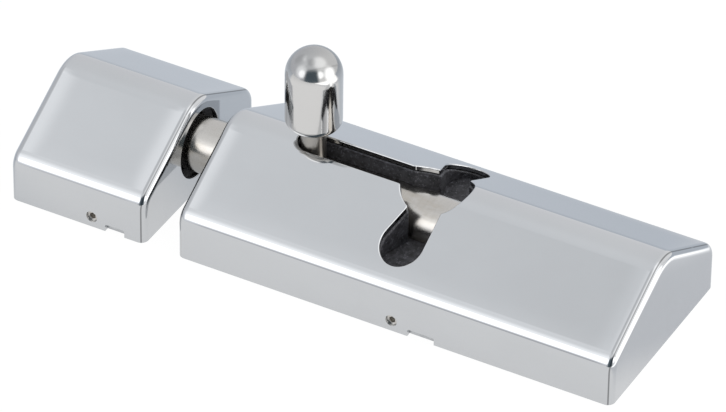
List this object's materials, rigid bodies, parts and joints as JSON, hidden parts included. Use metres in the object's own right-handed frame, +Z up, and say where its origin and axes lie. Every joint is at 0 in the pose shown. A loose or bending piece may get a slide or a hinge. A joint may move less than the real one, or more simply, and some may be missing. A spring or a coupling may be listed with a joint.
{
  "type": "sliding bolt latch",
  "caption": "Sliding bolt latch with a T-slot housing, round bolt with bullet knob, and matching receiver under polished covers.",
  "frame": {"origin": "centre of the housing's four fixing holes, on the mounting plane", "axes": "+X along the bolt, away from the receiver (the way the bolt is withdrawn); +Z up from the mounting plane, towards the knob"},
  "size_m": [0.1403, 0.046, 0.0447],
  "materials": {
    "cover": "polished",
    "bolt": "satin",
    "knob": "polished",
    "block": "matte",
    "plate": "satin",
    "screw": "satin",
    "shoe": "satin",
    "spring": "satin"
  },
  "bodies": {
    "housing": {"body_cover": "cover", "body_base_plate": "plate", "body_set_screws": "screw", "guide_block": "block", "guide_block_screws": "screw", "friction_shoe": "shoe", "shoe_spring": "spring", "receiver_cover": "cover", "receiver_base_plate": "plate", "receiver_block": "block", "receiver_block_screws": "screw", "receiver_set_screws": "screw"},
    "bolt": {"bolt": "bolt", "knob": "knob"}
  },
  "joints": [
    {"name": "bolt_slide", "type": "slide", "parent": "housing", "child": "bolt", "axis": [1, 0, 0], "range_m": [0, 0.02955]}
  ]
}
